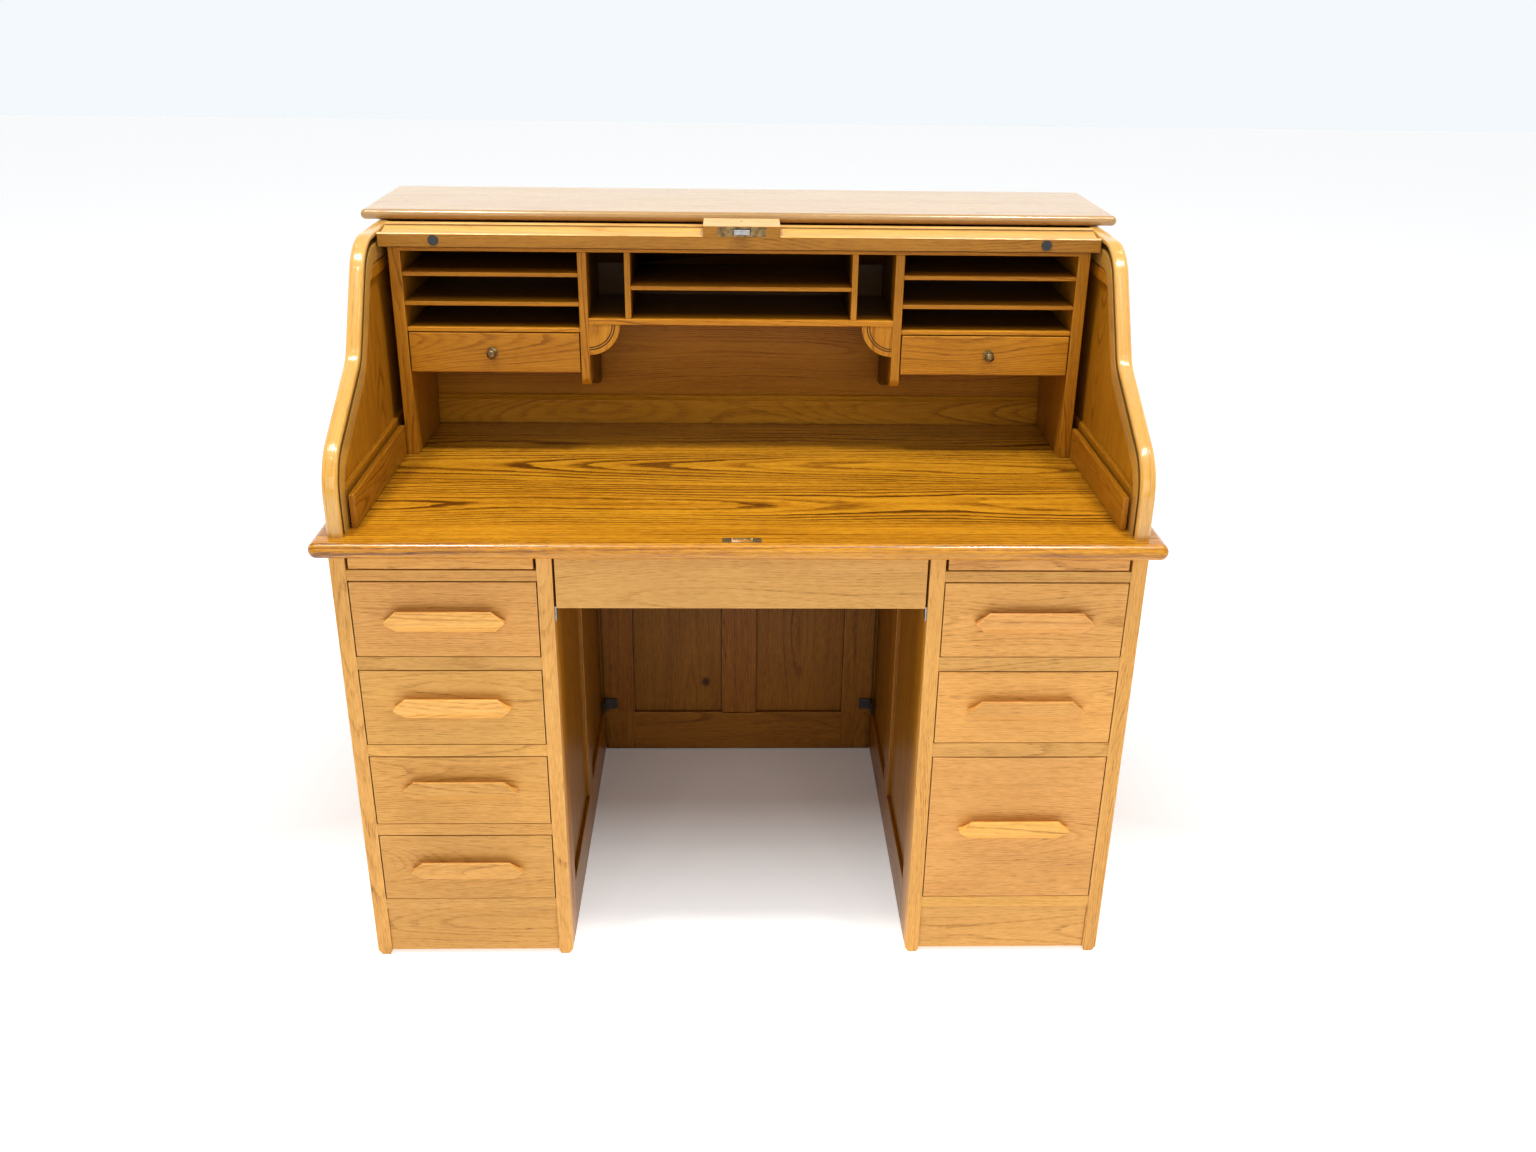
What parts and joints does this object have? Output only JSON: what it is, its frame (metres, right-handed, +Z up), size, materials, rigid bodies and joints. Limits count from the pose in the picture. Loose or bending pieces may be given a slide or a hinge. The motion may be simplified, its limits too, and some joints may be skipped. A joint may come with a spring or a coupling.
{
  "type": "roll top desk",
  "caption": "Twin-pedestal wooden desk with an S-curved slatted roll top, a pigeonhole unit with small drawers, wooden drawer pulls and a pull-out writing slide over each pedestal.",
  "frame": {"origin": "bottom centre of the desk's bounding box, on the floor", "axes": "+Z up, the drawers and the kneehole face -Y, +X to the right for a person who stands in front"},
  "size_m": [1.3, 0.782, 1.187],
  "materials": {
    "honey_oak": "satin varnish",
    "desktop_oak": "glossy varnish",
    "pale_oak": "satin varnish",
    "dark_oak": "satin varnish, in shadow and darker",
    "aged_brass": "worn",
    "bright_steel": "worn",
    "black_iron": "dull black",
    "black_rubber": "dull",
    "canvas": "unbleached, plain weave"
  },
  "bodies": {
    "carcass": {"desk_top": "desktop_oak", "top_board": "pale_oak", "left_end": "honey_oak", "right_end": "honey_oak", "end_panels": "honey_oak", "back_frame": "dark_oak", "back_panels": "dark_oak", "inner_back_panel": "honey_oak", "inner_back_rail": "honey_oak", "side_cleats": "honey_oak", "pigeonhole_sides": "honey_oak", "pigeonhole_dividers": "honey_oak", "pigeonhole_shelves": "honey_oak", "corner_brackets": "pale_oak", "left_face_frame": "honey_oak", "right_face_frame": "honey_oak", "plinths": "honey_oak", "pedestal_sides": "honey_oak", "pedestal_side_panels": "honey_oak", "pedestal_backs": "dark_oak", "drawer_runners": "dark_oak", "modesty_frame": "dark_oak", "modesty_panels": "dark_oak", "strike_plate": "aged_brass", "curtain_slats_back": "honey_oak", "curtain_canvas_back": "canvas", "kneehole_brackets": "black_iron", "drawer_brackets": "bright_steel"},
    "l1_drawer": {"drawer_l1": "honey_oak", "pull_l1": "pale_oak"},
    "l2_drawer": {"drawer_l2": "honey_oak", "pull_l2": "pale_oak"},
    "l3_drawer": {"drawer_l3": "honey_oak", "pull_l3": "pale_oak"},
    "l4_drawer": {"drawer_l4": "honey_oak", "pull_l4": "pale_oak"},
    "r1_drawer": {"drawer_r1": "honey_oak", "pull_r1": "pale_oak"},
    "r2_drawer": {"drawer_r2": "honey_oak", "pull_r2": "pale_oak"},
    "r3_drawer": {"drawer_r3": "honey_oak", "pull_r3": "pale_oak"},
    "centre_drawer_body": {"centre_drawer": "honey_oak"},
    "small_left": {"small_drawer_left": "honey_oak", "small_knob_left": "aged_brass"},
    "small_right": {"small_drawer_right": "honey_oak", "small_knob_right": "aged_brass"},
    "left_writing_slide": {"left_slide": "honey_oak"},
    "right_writing_slide": {"right_slide": "honey_oak"},
    "curtain_rail": {"lock_rail": "pale_oak", "lock_plate": "aged_brass", "rail_buffers": "black_rubber"},
    "bolt": {"lock_bolt": "bright_steel"},
    "curtain_top": {"curtain_slats_top": "honey_oak", "curtain_canvas_top": "canvas"}
  },
  "joints": [
    {"name": "left_drawer_1_slide", "type": "slide", "parent": "carcass", "child": "l1_drawer", "axis": [0, -1, 0], "range_m": [0, 0.42]},
    {"name": "left_drawer_2_slide", "type": "slide", "parent": "carcass", "child": "l2_drawer", "axis": [0, -1, 0], "range_m": [0, 0.42]},
    {"name": "left_drawer_3_slide", "type": "slide", "parent": "carcass", "child": "l3_drawer", "axis": [0, -1, 0], "range_m": [0, 0.42]},
    {"name": "left_drawer_4_slide", "type": "slide", "parent": "carcass", "child": "l4_drawer", "axis": [0, -1, 0], "range_m": [0, 0.42]},
    {"name": "right_drawer_1_slide", "type": "slide", "parent": "carcass", "child": "r1_drawer", "axis": [0, -1, 0], "range_m": [0, 0.42]},
    {"name": "right_drawer_2_slide", "type": "slide", "parent": "carcass", "child": "r2_drawer", "axis": [0, -1, 0], "range_m": [0, 0.42]},
    {"name": "right_drawer_3_slide", "type": "slide", "parent": "carcass", "child": "r3_drawer", "axis": [0, -1, 0], "range_m": [0, 0.42]},
    {"name": "centre_drawer_slide", "type": "slide", "parent": "carcass", "child": "centre_drawer_body", "axis": [0, -1, 0], "range_m": [0, 0.38]},
    {"name": "small_drawer_left_slide", "type": "slide", "parent": "carcass", "child": "small_left", "axis": [0, -1, 0], "range_m": [0, 0.15]},
    {"name": "small_drawer_right_slide", "type": "slide", "parent": "carcass", "child": "small_right", "axis": [0, -1, 0], "range_m": [0, 0.15]},
    {"name": "left_writing_slide_out", "type": "slide", "parent": "carcass", "child": "left_writing_slide", "axis": [0, -1, 0], "range_m": [0, 0.38]},
    {"name": "right_writing_slide_out", "type": "slide", "parent": "carcass", "child": "right_writing_slide", "axis": [0, -1, 0], "range_m": [0, 0.38]},
    {"name": "curtain_roll", "type": "hinge", "parent": "carcass", "child": "curtain_rail", "pos_m": [0, 0.01425, 0.78975], "axis": [1, 0, 0], "range_deg": [0, 90]},
    {"name": "curtain_top_slide", "type": "slide", "parent": "carcass", "child": "curtain_top", "axis": [0, -1, 0], "range_m": [0, 0.1211]},
    {"name": "lock_bolt_throw", "type": "slide", "parent": "curtain_rail", "child": "bolt", "axis": [0, 1, 0], "range_m": [0, 0.0065]}
  ],
  "couplings": [
    {"joint": "curtain_top_slide", "follows": "curtain_roll", "m_per_rad": 0.077031}
  ]
}
